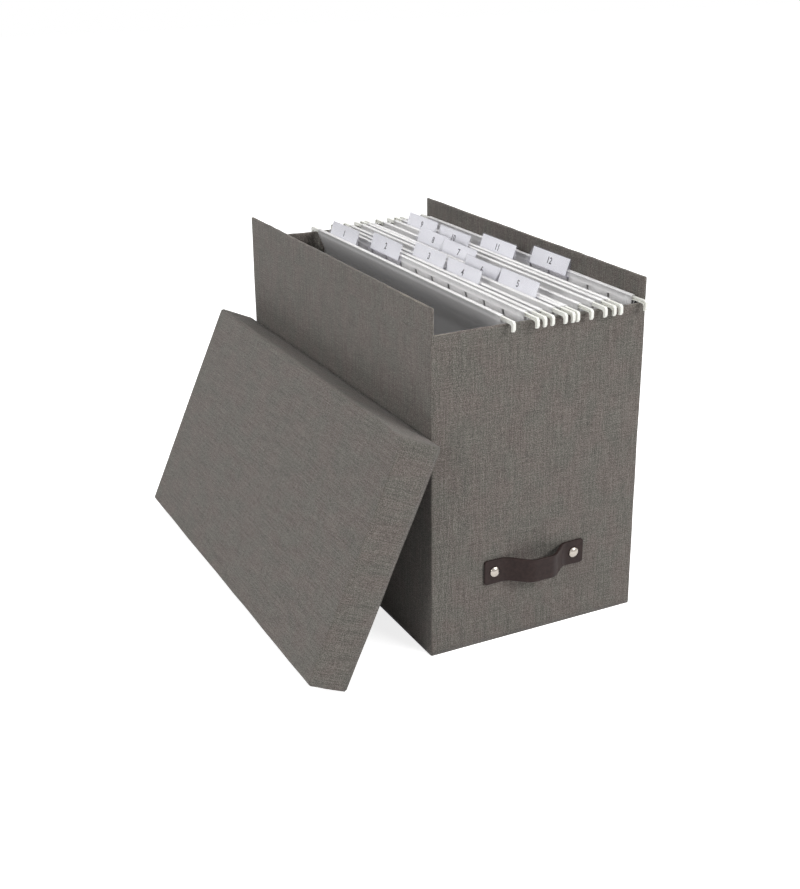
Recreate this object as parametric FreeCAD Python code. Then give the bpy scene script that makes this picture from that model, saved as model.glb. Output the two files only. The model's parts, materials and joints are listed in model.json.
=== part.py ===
"""Cloth-covered board box for A4 hanging files, with a lift-off lid and a leather pull.

Millimetres. +Z is up, +X points to the box's right side, and the end wall with the pull
faces -Y. The origin is the centre of the box's underside. The lid stands on the edge of its
rim and leans on the left side wall. Each sub-part is written to parts/NAME.step.
"""
import FreeCAD, Part
import math
import os

from collections import namedtuple
from FreeCAD import Placement, Rotation, Vector

# ---- covering and board --------------------------------------------------------------
CLOTH = 0.4                 # woven book cloth
BOARD = 1.9                 # greyboard
LINING = 0.3                # lining paper
CORNER_R = 1.5              # upright outer corners of the box, over the cloth
EDGE_R = 0.7                # top edges of the walls, over the cloth

# ---- box -----------------------------------------------------------------------------
BOX_WIDTH = 177.0           # X, over the cloth
BOX_LENGTH = 336.0          # Y, over the cloth
SIDE_HEIGHT = 265.0         # the two long side walls
END_HEIGHT = 246.0          # the two end walls, which carry the hooks
TURN_IN = 20.0              # cloth turned over the top edges and down the inside

# ---- pull ----------------------------------------------------------------------------
PULL_X = -2.0               # middle of the pull on the end wall
PULL_Z = 58.0
STRAP_LENGTH = 84.5         # end to end, along the wall
STRAP_WIDTH = 19.5          # at its ends
STRAP_WAIST = 18.0          # at the middle of the bow
STRAP_THICK = 2.2
STRAP_END_R = 2.5           # corners of its square ends
BOW_HEIGHT = 13.3           # how far the bow stands off the wall
BOW_FOOT = 28.5             # half the distance between the feet of the bow
BEND_R = 10.0               # radius of the four bends, to the strap's middle
BEND_ANGLE = 42.0
RIVET_X = 34.5              # each rivet's distance from the middle of the pull
RIVET_R = 2.0
RIVET_HOLE_R = 2.05
RIVET_HEAD_R = 4.1
RIVET_HEAD_RISE = 2.0
RIVET_HEAD_RIM = 0.4        # the straight edge under its slope
RIVET_CROWN_R = 2.4         # the top of the head
WASHER_R = 4.5
WASHER_THICK = 0.6

# ---- lid -----------------------------------------------------------------------------
LID_WIDTH = 187.0
LID_LENGTH = 364.0          # longer than the box, because it covers the hooks
LID_DEPTH = 31.0
LID_EDGE_R = 3.0            # top edges and corners, over the cloth
LID_BEVEL = 0.75 * (LID_EDGE_R - CLOTH)     # planed off the boards, under the rounded cloth
LID_TURN_IN = 15.0
LID_LEAN = 24.0             # degrees from upright
LID_SHIFT_Y = -2.3          # it does not lean quite centred
REST_GAP = 0.3              # between the lid and what it leans and stands on

# ---- hanging files -------------------------------------------------------------------
SHEET_LENGTH = 317.0        # Y
SHEET_THICK = 0.45
SHEET_SPAN = 476.0          # down one side, across the bottom and up the other
FOLD_BEVEL = 2.0            # the bottom is creased twice at each side
HEM_THICK = 3.3             # a hem with its bar inside
HEM_TOP = 249.9
HEM_BEVEL = 0.6             # its two upper corners
HEM_SHOULDER = 245.2        # the hem narrows from here down
HEM_HOLLOW = 236.7          # to the end of its hollow
HEM_FOOT = 231.5            # and the end of its pasted flap, on the inside of the panel

BAR_THICK = 2.1
BAR_RIM = 0.7               # the rim around the pressed channel of a bar
BAR_WEB = 0.8
BAR_BOTTOM = 245.3          # inside the hem
BAR_END = 175.2             # half the length over the hooks
ARM_BOTTOM = END_HEIGHT + 0.3
ARM_TOP = 249.0
ARM_LENGTH = 17.0           # the shallow part of a bar, up to its hook
HOOK_INNER = 172.6          # half the distance between the two hooks
HOOK_BEVEL = 1.5            # the outer corner of its shoulder
HOOK_HEEL = 1.2             # the inner corner under its shoulder
HOOK_TIP_WIDTH = 1.4
HOOK_TIP_Z = 241.4
HOOK_TIP_BEVEL = 1.8        # height of the slope at its tip

SLIT_FIRST = -129.8         # Y of the first slit
SLIT_PITCH = 27.2
SLIT_COUNT = 11
SLIT_WIDTH = 0.9
SLIT_BOTTOM = 237.9
SLIT_TOP = 243.4

TAB_WIDTH = 54.2            # two slit pitches
TAB_WING = 5.0              # how much wider the sleeve is at its base, on each side
TAB_WALL = 0.2
TAB_GAP = 0.3               # the pocket that holds the label
TAB_HEIGHT = 15.4           # the sloping label holder, along its slope
TAB_SLOPE = 19.0            # degrees from upright, tops towards +X
TAB_FOOT = 0.7              # thickness of the foot
TAB_FOOT_BOTTOM = 237.6
TAB_FOOT_TOP = 243.1
TAB_BASE = 244.6            # the lower end of a right tab's sleeve
TAB_CLEAR = 0.1             # between a sleeve and its hem
LEFT_TAB_RISE = 1.4         # a left tab's sleeve stands this much higher
PRONG_THICK = 0.35
PRONG_HEIGHT = 4.5
PRONG_REACH = 0.6           # through the flap, not the panel behind it
PRONG_CLEAR = 0.05
LABEL_MARGIN = 0.8          # the pocket's closed borders, and the label's short ends
LABEL_SHORT = 0.2
LABEL_THICK = 0.2
LABEL_CLEAR = 0.05          # between the label and the front of its pocket

# One side of a file: X of its hem, the slit that its tab is centred on, and how far outwards
# of its hem its panel stands, at the hem's foot and half way down.
Side = namedtuple("Side", "x slit pinch bow")
FILES = (
    (Side(-27.5, 9, -4.2, 3.5), Side(-8.2, 7, 1.2, 1.6)),
    (Side(-2.0, 5, -0.4, 0.8), Side(4.3, 3, -0.5, 1.0)),
    (Side(15.0, 1, -0.6, 1.2), Side(21.3, 3, -0.2, -0.3)),
    (Side(25.2, 5, -0.5, 0.3), Side(36.8, 7, -0.9, 1.5)),
    (Side(48.6, 9, -0.8, 1.0), Side(56.3, 7, -0.4, 0.5)),
    (Side(62.0, 5, -0.5, 0.4), Side(83.8, 3, -0.95, 0.6)),
)

WALL = CLOTH + BOARD        # without the lining
HALF_W = BOX_WIDTH / 2
HALF_L = BOX_LENGTH / 2
OVERCUT = 1.0               # how far a cutter reaches past the surface that it opens
NEAR = 0.01                 # two heights closer than this are the same
ALONG = 0.9                 # a direction with this much of an axis runs along it


# ---- helpers -------------------------------------------------------------------------
def span_box(x0, x1, y0, y1, z0, z1):
    """A box between two corners."""
    return Part.makeBox(x1 - x0, y1 - y0, z1 - z0, Vector(x0, y0, z0))


def centred_box(half_x, half_y, z0, z1):
    """A box centred on the Z axis."""
    return span_box(-half_x, half_x, -half_y, half_y, z0, z1)


def fillet_where(shape, radius, wanted):
    """Round the edges whose middle point and direction satisfy wanted(middle, direction)."""
    return shape.makeFillet(radius, edges_where(shape, wanted))


def bevel_where(shape, size, wanted):
    """Bevel the edges whose middle point and direction satisfy wanted(middle, direction)."""
    return shape.makeChamfer(size, edges_where(shape, wanted))


def edges_where(shape, wanted):
    """The edges whose middle point and direction satisfy wanted(middle, direction)."""
    edges = []
    for edge in shape.Edges:
        middle = edge.valueAt((edge.FirstParameter + edge.LastParameter) / 2)
        direction = edge.tangentAt(edge.FirstParameter)
        if wanted(middle, direction):
            edges.append(edge)
    return edges


def is_upright(middle, direction):
    """A test for upright edges."""
    return abs(direction.z) > ALONG


def extrude_xz(points, y0, y1):
    """A profile of (x, z) points, carried from y0 to y1."""
    corners = [Vector(x, y0, z) for x, z in points]
    face = Part.Face(Part.makePolygon(corners + corners[:1]))
    return face.extrude(Vector(0, y1 - y0, 0))


def save(name, shape):
    """Write one sub-part, and say what it measures."""
    clean = shape.removeSplitter() if len(shape.Solids) == 1 else shape
    clean.exportStep("parts/" + name + ".step")
    size = clean.BoundBox
    print("%-24s solids %d  valid %s  %.1f x %.1f x %.1f mm  %.2f cm3" % (
        name, len(clean.Solids), clean.isValid(), size.XLength, size.YLength, size.ZLength,
        clean.Volume / 1000))


# ---- box -----------------------------------------------------------------------------
def box_boards():
    """Five boards: the end boards stand between the side boards, the base inside all four."""
    out_x, out_y = HALF_W - CLOTH, HALF_L - CLOTH
    in_x, in_y = out_x - BOARD, out_y - BOARD
    side_top, end_top = SIDE_HEIGHT - CLOTH, END_HEIGHT - CLOTH
    block = fillet_where(centred_box(out_x, out_y, CLOTH, side_top), CORNER_R - CLOTH, is_upright)
    return {
        "left_side_board": block.common(span_box(-out_x, -in_x, -out_y, out_y, 0, side_top)),
        "right_side_board": block.common(span_box(in_x, out_x, -out_y, out_y, 0, side_top)),
        "front_end_board": span_box(-in_x, in_x, -out_y, -in_y, CLOTH, end_top),
        "rear_end_board": span_box(-in_x, in_x, in_y, out_y, CLOTH, end_top),
        "base_board": centred_box(in_x, in_y, CLOTH, WALL),
    }


def box_cloth(boards):
    """The wrap around the walls, over their top edges and down inside by the turn-in."""
    in_x, in_y = HALF_W - WALL - CLOTH, HALF_L - WALL - CLOTH
    wrap = fillet_where(centred_box(HALF_W, HALF_L, CLOTH, SIDE_HEIGHT), CORNER_R, is_upright)
    wrap = wrap.cut(centred_box(in_x, in_y, 0, SIDE_HEIGHT + OVERCUT))
    wrap = wrap.cut(centred_box(in_x, HALF_L + OVERCUT, END_HEIGHT, SIDE_HEIGHT + OVERCUT))

    def is_top_edge(middle, direction):
        at_top = abs(middle.z - SIDE_HEIGHT) < NEAR and abs(direction.y) > ALONG
        on_end = abs(middle.z - END_HEIGHT) < NEAR and abs(direction.x) > ALONG
        return at_top or on_end

    wrap = fillet_where(wrap, EDGE_R, is_top_edge)
    for board in boards.values():
        wrap = wrap.cut(board)
    below_side = SIDE_HEIGHT - TURN_IN
    below_end = END_HEIGHT - TURN_IN
    hollow_x, hollow_y = HALF_W - WALL, HALF_L - WALL
    wrap = wrap.cut(centred_box(hollow_x, in_y, 0, below_side))
    wrap = wrap.cut(centred_box(hollow_x, hollow_y, 0, below_end))
    return wrap


def box_lining():
    """Paper on the floor and up the inside of the walls, as far as the turned-in cloth."""
    out_x, out_y = HALF_W - WALL, HALF_L - WALL
    in_x, in_y = out_x - LINING, out_y - LINING
    cloth_y = out_y - CLOTH
    paper = centred_box(out_x, out_y, WALL, END_HEIGHT - TURN_IN)
    paper = paper.fuse(centred_box(out_x, cloth_y, WALL, SIDE_HEIGHT - TURN_IN))
    paper = paper.cut(centred_box(in_x, in_y, WALL + LINING, SIDE_HEIGHT))
    return paper.cut(centred_box(in_x, out_y + OVERCUT, END_HEIGHT - TURN_IN, SIDE_HEIGHT))


def rivet_bores(y0, y1):
    """Two cylinders to cut the rivets' holes with, from y0 to y1."""
    return Part.Compound([
        Part.makeCylinder(RIVET_HOLE_R, y1 - y0, Vector(PULL_X + side * RIVET_X, y0, PULL_Z),
                          Vector(0, 1, 0))
        for side in (-1, 1)])


# ---- pull ----------------------------------------------------------------------------
def bow_line():
    """The strap's middle line seen from above, as (x, rise) ends of its runs and bends.

    Each S-bend is an arc, a straight slope and an arc back. The slope's length follows from
    the bow's height.
    """
    angle = math.radians(BEND_ANGLE)
    arc_run, arc_rise = BEND_R * math.sin(angle), BEND_R * (1 - math.cos(angle))
    slope_rise = BOW_HEIGHT - 2 * arc_rise
    slope_run = slope_rise / math.tan(angle)
    first = -BOW_FOOT
    xs = [-STRAP_LENGTH / 2, first, first + arc_run, first + arc_run + slope_run,
          first + 2 * arc_run + slope_run]
    rises = [0, 0, arc_rise, arc_rise + slope_rise, BOW_HEIGHT]
    half_angle_x, half_angle_y = BEND_R * math.sin(angle / 2), BEND_R * (1 - math.cos(angle / 2))
    first_mid = (first + half_angle_x, half_angle_y)
    second_mid = (xs[4] - half_angle_x, BOW_HEIGHT - half_angle_y)
    return xs, rises, first_mid, second_mid


def strap():
    """The leather strap: its bowed section, cut to the outline seen from the front."""
    xs, rises, first_mid, second_mid = bow_line()
    base_y = -HALF_L - STRAP_THICK / 2

    def at(x, rise):
        return Vector(x, base_y - rise, 0)

    ends = [at(x, rise) for x, rise in zip(xs, rises)]
    half = [
        Part.LineSegment(ends[0], ends[1]),
        Part.Arc(ends[1], at(*first_mid), ends[2]),
        Part.LineSegment(ends[2], ends[3]),
        Part.Arc(ends[3], at(*second_mid), ends[4]),
    ]
    half_edges = [curve.toShape() for curve in half]
    mirrored = [edge.mirror(Vector(0, 0, 0), Vector(1, 0, 0)) for edge in half_edges]
    top = Part.LineSegment(ends[4], at(-xs[4], BOW_HEIGHT)).toShape()
    line = Part.Wire(Part.__sortEdges__(half_edges + [top] + mirrored))
    face = line.makeOffset2D(STRAP_THICK / 2, fill=False, openResult=True)
    back = line.makeOffset2D(-STRAP_THICK / 2, fill=False, openResult=True)
    caps = [Part.LineSegment(Vector(x, -HALF_L, 0), Vector(x, -HALF_L - STRAP_THICK, 0)).toShape()
            for x in (-STRAP_LENGTH / 2, STRAP_LENGTH / 2)]
    section = Part.Face(Part.Wire(Part.__sortEdges__(face.Edges + back.Edges + caps)))
    ribbon = section.extrude(Vector(0, 0, STRAP_WIDTH))
    ribbon.translate(Vector(PULL_X, 0, PULL_Z - STRAP_WIDTH / 2))

    return ribbon.common(strap_outline()).cut(rivet_bores(-HALF_L - STRAP_THICK, -HALF_L))


def strap_outline():
    """The strap seen from the front: square ends with small corners, and a slight waist."""
    end_x, half_end, half_waist = STRAP_LENGTH / 2, STRAP_WIDTH / 2, STRAP_WAIST / 2
    radius = STRAP_END_R
    corner = radius * (1 - math.sqrt(0.5))
    y = -HALF_L - BOW_HEIGHT - STRAP_THICK - OVERCUT

    def at(x, z):
        return Vector(PULL_X + x, y, PULL_Z + z)

    edges = []
    for up in (1, -1):
        edges.append(Part.Arc(at(-end_x + radius, up * half_end), at(0, up * half_waist),
                              at(end_x - radius, up * half_end)))
    for side in (-1, 1):
        outer, inner = side * end_x, side * (end_x - radius)
        mid = side * (end_x - corner)
        edges.append(Part.LineSegment(at(outer, -half_end + radius), at(outer, half_end - radius)))
        for up in (1, -1):
            edges.append(Part.Arc(at(outer, up * (half_end - radius)),
                                  at(mid, up * (half_end - corner)), at(inner, up * half_end)))
    wire = Part.Wire(Part.__sortEdges__([curve.toShape() for curve in edges]))
    return Part.Face(wire).extrude(Vector(0, -HALF_L - y, 0))


def rivet(side):
    """A rivet: a low sloped head over the strap, and a post through to the washer."""
    x = PULL_X + side * RIVET_X
    face_y = -HALF_L - STRAP_THICK
    post_end = -HALF_L + WALL + LINING + WASHER_THICK
    rim = Part.makeCylinder(RIVET_HEAD_R, RIVET_HEAD_RIM, Vector(x, face_y, PULL_Z), Vector(0, -1, 0))
    crown = Part.makeCone(RIVET_HEAD_R, RIVET_CROWN_R, RIVET_HEAD_RISE - RIVET_HEAD_RIM,
                          Vector(x, face_y - RIVET_HEAD_RIM, PULL_Z), Vector(0, -1, 0))
    post = Part.makeCylinder(RIVET_R, post_end - face_y, Vector(x, face_y, PULL_Z), Vector(0, 1, 0))
    return rim.fuse([crown, post])


def washer(side):
    """The washer that the rivet is closed over, inside the wall."""
    x = PULL_X + side * RIVET_X
    inner_y = -HALF_L + WALL + LINING
    start = Vector(x, inner_y, PULL_Z)
    ring = Part.makeCylinder(WASHER_R, WASHER_THICK, start, Vector(0, 1, 0))
    return ring.cut(Part.makeCylinder(RIVET_HOLE_R, WASHER_THICK, start, Vector(0, 1, 0)))


# ---- lid -----------------------------------------------------------------------------
def lean(shape):
    """Carry a lid part from its own frame (rim down, middle of the rim at the origin) to
    where it leans: its lower rim edge near the floor, its upper rim edge near the wall."""
    angle = math.radians(LID_LEAN)
    turn = Rotation(Vector(0, 1, 0), LID_LEAN - 90)
    rim_middle = Vector(lid_foot_x() + LID_WIDTH / 2 * math.sin(angle), LID_SHIFT_Y,
                        REST_GAP + LID_WIDTH / 2 * math.cos(angle))
    shape.Placement = Placement(rim_middle, turn).multiply(shape.Placement)
    return shape


def lid_foot_x():
    """X of the rim edge that the lid stands on."""
    return -HALF_W - REST_GAP - LID_WIDTH * math.sin(math.radians(LID_LEAN))


def is_lid_edge(top):
    """A test for the upright and the top edges of a block whose top is at that height."""
    return lambda middle, direction: abs(direction.z) > ALONG or abs(middle.z - top) < NEAR


def lid_parts():
    """The five boards, the cloth and the paper, in the lid's own frame."""
    out_x, out_y, out_z = LID_WIDTH / 2 - CLOTH, LID_LENGTH / 2 - CLOTH, LID_DEPTH - CLOTH
    in_x, in_y, in_z = out_x - BOARD, out_y - BOARD, out_z - BOARD
    block = bevel_where(centred_box(out_x, out_y, CLOTH, out_z), LID_BEVEL, is_lid_edge(out_z))
    parts = {
        "lid_top_board": block.common(centred_box(out_x, out_y, in_z, out_z)),
        "lid_upper_skirt": block.common(span_box(in_x, out_x, -out_y, out_y, 0, in_z)),
        "lid_lower_skirt": block.common(span_box(-out_x, -in_x, -out_y, out_y, 0, in_z)),
        "lid_front_skirt": block.common(span_box(-in_x, in_x, -out_y, -in_y, 0, in_z)),
        "lid_rear_skirt": block.common(span_box(-in_x, in_x, in_y, out_y, 0, in_z)),
    }
    wrap = fillet_where(centred_box(LID_WIDTH / 2, LID_LENGTH / 2, 0, LID_DEPTH), LID_EDGE_R,
                        is_lid_edge(LID_DEPTH))
    wrap = wrap.cut(centred_box(in_x - CLOTH, in_y - CLOTH, -OVERCUT, in_z))
    for board in parts.values():
        wrap = wrap.cut(board)
    wrap = wrap.cut(centred_box(in_x, in_y, LID_TURN_IN, in_z))
    paper = centred_box(in_x, in_y, LID_TURN_IN, in_z)
    paper = paper.cut(centred_box(in_x - LINING, in_y - LINING, 0, in_z - LINING))
    parts["lid_cloth"] = wrap
    parts["lid_lining"] = paper
    return parts


# ---- hanging files -------------------------------------------------------------------
def slit_y(index):
    """Y of the middle of a slit."""
    return SLIT_FIRST + index * SLIT_PITCH


def place(side, outward, points):
    """Turn (outwards of the hem, z) points of one side into (x, z) points.

    outward is -1 on the left side of a file and +1 on its right side.
    """
    return [(side.x + outward * out, z) for out, z in points]


def hem_out(foot, shoulder, z):
    """How far outwards a face of a hem is at z, on its slope between foot and shoulder."""
    return foot + (shoulder - foot) * (z - HEM_FOOT) / (HEM_SHOULDER - HEM_FOOT)


def panel_out(side, z):
    """Where the outside face of a hem is at z, outwards of its middle."""
    return hem_out(side.pinch + SHEET_THICK / 2, HEM_THICK / 2, z)


def flap_out(side, z):
    """Where the inside face is. At the foot the pasted flap lies on the inside of the panel."""
    return hem_out(side.pinch - SHEET_THICK / 2 - SHEET_THICK, -HEM_THICK / 2, z)


def hem(side, outward):
    """One hem: a folded loop around the bar, drawn in to a pasted flap, with a row of slits."""
    half, half_y = HEM_THICK / 2, SHEET_LENGTH / 2
    inner, inner_top = half - SHEET_THICK, HEM_TOP - SHEET_THICK
    skin = extrude_xz(place(side, outward, [
        (panel_out(side, HEM_FOOT), HEM_FOOT), (half, HEM_SHOULDER), (half, HEM_TOP),
        (-half, HEM_TOP), (-half, HEM_SHOULDER), (flap_out(side, HEM_FOOT), HEM_FOOT)]),
        -half_y, half_y)
    skin = bevel_where(skin, HEM_BEVEL,
                       lambda middle, direction: abs(direction.y) > ALONG and middle.z > ARM_TOP)
    hollow = extrude_xz(place(side, outward, [
        (panel_out(side, HEM_HOLLOW) - SHEET_THICK, HEM_HOLLOW), (inner, HEM_SHOULDER),
        (inner, inner_top), (-inner, inner_top), (-inner, HEM_SHOULDER),
        (flap_out(side, HEM_HOLLOW) + SHEET_THICK, HEM_HOLLOW)]),
        -half_y, half_y)
    return skin.cut(hollow).cut(hem_slits(side, outward))


def hem_slits(side, outward):
    """Cutters for the row of slits in a hem's flap. They stop half way to the panel."""
    outline = []
    for z in (SLIT_BOTTOM, SLIT_TOP):
        outline.append(((panel_out(side, z) + flap_out(side, z)) / 2, z))
    for z in (SLIT_TOP, SLIT_BOTTOM):
        outline.append((flap_out(side, z) - SHEET_THICK, z))
    points = place(side, outward, outline)
    return Part.Compound([
        extrude_xz(points, slit_y(index) - SLIT_WIDTH / 2, slit_y(index) + SLIT_WIDTH / 2)
        for index in range(SLIT_COUNT)])


def pocket(left, right):
    """The two bowed panels of a file and its creased flat bottom, as one band."""
    bottom = HEM_TOP - (SHEET_SPAN - (right.x - left.x)) / 2

    def half_skin(side, outward, grow):
        """The points down one side of the band, grow outwards of its middle, to its crease."""
        crease = FOLD_BEVEL + grow * (2 - math.sqrt(2))
        points = place(side, outward, [
            (side.pinch + grow, HEM_FOOT), (side.bow + grow, (HEM_FOOT + bottom) / 2),
            (grow, bottom - grow + crease), (grow - crease, bottom - grow)])
        return [Vector(x, -SHEET_LENGTH / 2, z) for x, z in points]

    def skin(grow):
        """The points of one face of the band, from the left hem's foot to the right hem's."""
        return half_skin(left, -1, grow) + half_skin(right, 1, grow)[::-1]

    outer, inner = skin(SHEET_THICK / 2), skin(-SHEET_THICK / 2)
    curves = [Part.LineSegment(outer[0], inner[0]), Part.LineSegment(outer[-1], inner[-1])]
    for points in (outer, inner):
        curves.append(Part.Arc(*points[:3]))
        curves.append(Part.Arc(*points[-3:]))
        for first, second in zip(points[2:5], points[3:6]):
            curves.append(Part.LineSegment(first, second))
    wire = Part.Wire(Part.__sortEdges__([curve.toShape() for curve in curves]))
    return Part.Face(wire).extrude(Vector(0, SHEET_LENGTH, 0))


def bar_face(x):
    """A bar's outline with a hook at each end, as a face in the plane at x."""
    step_y, bar_top = HOOK_INNER - ARM_LENGTH, HEM_TOP - SHEET_THICK
    half = [(step_y - (ARM_BOTTOM - BAR_BOTTOM), BAR_BOTTOM), (step_y, ARM_BOTTOM),
            (HOOK_INNER - HOOK_HEEL, ARM_BOTTOM), (HOOK_INNER, ARM_BOTTOM - HOOK_HEEL),
            (HOOK_INNER, HOOK_TIP_Z), (HOOK_INNER + HOOK_TIP_WIDTH, HOOK_TIP_Z),
            (BAR_END, HOOK_TIP_Z + HOOK_TIP_BEVEL), (BAR_END, ARM_TOP - HOOK_BEVEL),
            (BAR_END - HOOK_BEVEL, ARM_TOP), (step_y, ARM_TOP),
            (step_y - (bar_top - ARM_TOP), bar_top)]
    outline = half + [(-y, z) for y, z in half[::-1]]
    corners = [Vector(x, y, z) for y, z in outline]
    return Part.Face(Part.makePolygon(corners + corners[:1]))


def bar(side, outward):
    """A hanger bar: a flat strip with a channel pressed into its inner face, hooked ends."""
    back_x = side.x + outward * BAR_THICK / 2
    strip = bar_face(back_x).extrude(Vector(-outward * BAR_THICK, 0, 0))
    channel = bar_face(back_x - outward * BAR_WEB).makeOffset2D(-BAR_RIM, join=2)
    return strip.cut(channel.extrude(Vector(-outward * BAR_THICK, 0, 0)))


def sleeve_base(side, outward):
    """The (x, z) of the front lower edge of a tab's sleeve.

    A left tab's sleeve rises beside its hem. That of a right tab leans over its hem, so its
    back just clears the lower corner of the hem's bevel.
    """
    beside_hem = HEM_THICK / 2 + TAB_CLEAR
    if outward < 0:
        return side.x + beside_hem, TAB_BASE + LEFT_TAB_RISE
    slope = math.radians(TAB_SLOPE)
    thick = 2 * TAB_WALL + TAB_GAP
    rise = HEM_TOP - HEM_BEVEL - TAB_BASE
    return side.x - beside_hem - rise * math.tan(slope) - thick / math.cos(slope), TAB_BASE


def tab(side, outward):
    """A clear tab and its label: prongs in the slits, a foot, a step and a sloping sleeve."""
    slope = math.radians(TAB_SLOPE)
    lean_x, lean_z = math.sin(slope), math.cos(slope)
    thick = 2 * TAB_WALL + TAB_GAP
    centre_y, half_y = slit_y(side.slit), TAB_WIDTH / 2
    y0, y1 = centre_y - half_y, centre_y + half_y
    base_x, base_z = sleeve_base(side, outward)

    def sloped(along, across):
        """A point of the sleeve: along its slope, and across its thickness towards +X."""
        return base_x + along * lean_x + across * lean_z, base_z + along * lean_z - across * lean_x

    def slab(low, high, near, far, reach_y):
        """A sloping slab between two distances along the slope and two across it."""
        corners = [sloped(low, near), sloped(high, near), sloped(high, far), sloped(low, far)]
        return extrude_xz(corners, centre_y - reach_y, centre_y + reach_y)

    wide = half_y + TAB_WING
    low, high = LABEL_MARGIN, TAB_HEIGHT - LABEL_MARGIN
    sleeve = slab(0, TAB_HEIGHT, 0, thick, wide)
    sleeve = sleeve.cut(slab(low, high, TAB_WALL, TAB_WALL + TAB_GAP, wide))
    sleeve = sleeve.common(tab_outline(centre_y, sloped(0, thick)[1], sloped(TAB_HEIGHT, 0)[1],
                                       sleeve.BoundBox))
    label_x = TAB_WALL + LABEL_CLEAR
    label = slab(low, high - LABEL_SHORT, label_x, label_x + LABEL_THICK, half_y - LABEL_MARGIN)

    def beside(z, gap):
        """A point of the foot: that far from the flap's face, on the inside of the file."""
        return side.x + outward * (flap_out(side, z) - gap), z

    near, far = PRONG_CLEAR, PRONG_CLEAR + TAB_FOOT
    foot = extrude_xz([beside(TAB_FOOT_BOTTOM, near), beside(TAB_FOOT_TOP, near),
                       beside(TAB_FOOT_TOP, far), beside(TAB_FOOT_BOTTOM, far)], y0, y1)
    lower, upper = (0, thick) if outward < 0 else (thick, 0)
    step = extrude_xz([beside(TAB_FOOT_TOP, near), beside(TAB_FOOT_TOP - TAB_FOOT, near),
                       beside(TAB_FOOT_TOP - TAB_FOOT, far), sloped(0, upper), sloped(0, lower)],
                      y0, y1)
    prong_z = (SLIT_BOTTOM + SLIT_TOP - PRONG_HEIGHT) / 2
    prong_top = prong_z + PRONG_HEIGHT
    reach = near - PRONG_REACH
    prongs = [extrude_xz([beside(prong_z, near), beside(prong_top, near),
                          beside(prong_top, reach), beside(prong_z, reach)], y, y + PRONG_THICK)
              for y in (y0, y1 - PRONG_THICK)]
    return sleeve.fuse([foot, step] + prongs).removeSplitter(), label


def tab_outline(centre_y, z0, z1, around):
    """A prism along X, to trim a sleeve with: wider by the wings at z0 than at z1."""
    half_top, half_base = TAB_WIDTH / 2, TAB_WIDTH / 2 + TAB_WING
    corners = [Vector(around.XMin, centre_y + y, z) for y, z in (
        (-half_base, z0), (half_base, z0), (half_top, z1), (-half_top, z1), (-half_base, z0))]
    return Part.Face(Part.makePolygon(corners)).extrude(Vector(around.XLength, 0, 0))


def hanging_file(number, left, right):
    """Write the five sub-parts of one hanging file."""
    name = "file_%d_" % number
    tabs = [tab(left, -1), tab(right, 1)]
    save(name + "sheet", pocket(left, right).fuse([hem(left, -1), hem(right, 1)]))
    save(name + "left_bar", bar(left, -1))
    save(name + "right_bar", bar(right, 1))
    save(name + "tabs", Part.Compound([solid for solid, label in tabs]))
    save(name + "labels", Part.Compound([label for solid, label in tabs]))


def main():
    os.makedirs("parts", exist_ok=True)
    boards = box_boards()
    bores = rivet_bores(-HALF_L, -HALF_L + WALL + LINING)
    cloth = box_cloth(boards)
    boards["front_end_board"] = boards["front_end_board"].cut(bores)
    for name, board in boards.items():
        save(name, board)
    save("box_cloth", cloth.cut(bores))
    save("box_lining", box_lining().cut(bores))
    save("base_cloth", fillet_where(centred_box(HALF_W, HALF_L, 0, CLOTH), CORNER_R, is_upright))
    save("pull_strap", strap())
    for side, word in ((-1, "left"), (1, "right")):
        save("pull_rivet_" + word, rivet(side))
        save("pull_washer_" + word, washer(side))
    for name, shape in lid_parts().items():
        save(name, lean(shape))
    for number, (left, right) in enumerate(FILES, 1):
        hanging_file(number, left, right)


main()
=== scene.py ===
"""Looks of a cloth-covered hanging-file box, its leaning lid and its six hanging files.

Every length is in metres unless its name or comment says millimetres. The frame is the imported
model: +Z is up, +X points to the box's right side, and the end wall with the pull faces -Y.
"""
import json
import logging
import math
from dataclasses import dataclass, field
from enum import Enum

import bpy
import numpy as np
from mathutils import Matrix, Vector


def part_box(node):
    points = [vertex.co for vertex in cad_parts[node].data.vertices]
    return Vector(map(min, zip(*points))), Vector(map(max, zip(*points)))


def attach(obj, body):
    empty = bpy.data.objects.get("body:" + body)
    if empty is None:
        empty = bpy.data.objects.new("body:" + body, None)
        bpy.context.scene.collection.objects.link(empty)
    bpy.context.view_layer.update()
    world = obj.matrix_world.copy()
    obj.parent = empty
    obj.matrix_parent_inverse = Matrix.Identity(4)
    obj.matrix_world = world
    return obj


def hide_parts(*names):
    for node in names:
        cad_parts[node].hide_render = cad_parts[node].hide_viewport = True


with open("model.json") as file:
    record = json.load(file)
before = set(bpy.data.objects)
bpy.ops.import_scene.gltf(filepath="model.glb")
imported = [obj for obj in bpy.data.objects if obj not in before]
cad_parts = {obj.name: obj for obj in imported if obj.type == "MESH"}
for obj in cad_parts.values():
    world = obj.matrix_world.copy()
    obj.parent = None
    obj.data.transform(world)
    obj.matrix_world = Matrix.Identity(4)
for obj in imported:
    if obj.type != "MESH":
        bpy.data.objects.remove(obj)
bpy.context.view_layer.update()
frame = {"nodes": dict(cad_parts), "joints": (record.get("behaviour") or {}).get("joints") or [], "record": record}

Node, Socket, Tree = bpy.types.Node, bpy.types.NodeSocket, bpy.types.NodeTree
Array, Material, Piece = np.ndarray, bpy.types.Material, bpy.types.Object

LOG = logging.getLogger("file_box")
MM = 0.001
TINY = 1e-12
OPEN = 10.0                 # a sharp box reaches this far past a side where it has no edges
QUARTER = math.pi / 2       # a quarter of a turn
THREADS = "threads"         # the UV map that holds millimetres along the weft and the warp


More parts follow.
